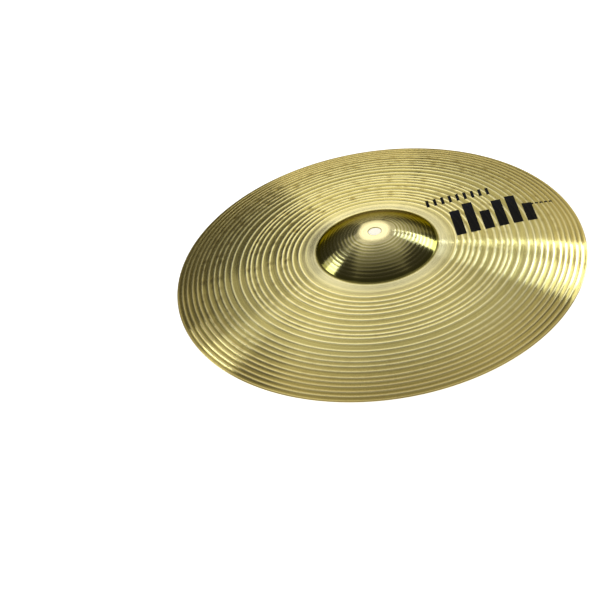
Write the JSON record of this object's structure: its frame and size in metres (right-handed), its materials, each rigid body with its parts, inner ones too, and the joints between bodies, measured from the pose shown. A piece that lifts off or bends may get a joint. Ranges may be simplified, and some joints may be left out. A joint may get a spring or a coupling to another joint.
{
  "type": "crash cymbal",
  "caption": "Thin round brass crash cymbal with a raised bell, a shallow bow lathed in rings, and a centre hole for a cymbal stand.",
  "frame": {"origin": "on the axis of the centre hole, in the plane that the rim's lowest edge rests on", "axes": "+Z along the axis of the centre hole, out of the top of the bell; X and Y are equal, because the cymbal is round"},
  "size_m": [0.4064, 0.4064, 0.0429],
  "materials": {
    "lathed_brass": "lathed in rings, satin to bright, clear lacquered"
  },
  "bodies": {
    "root": {"crash_cymbal": "lathed_brass"}
  },
  "joints": []
}
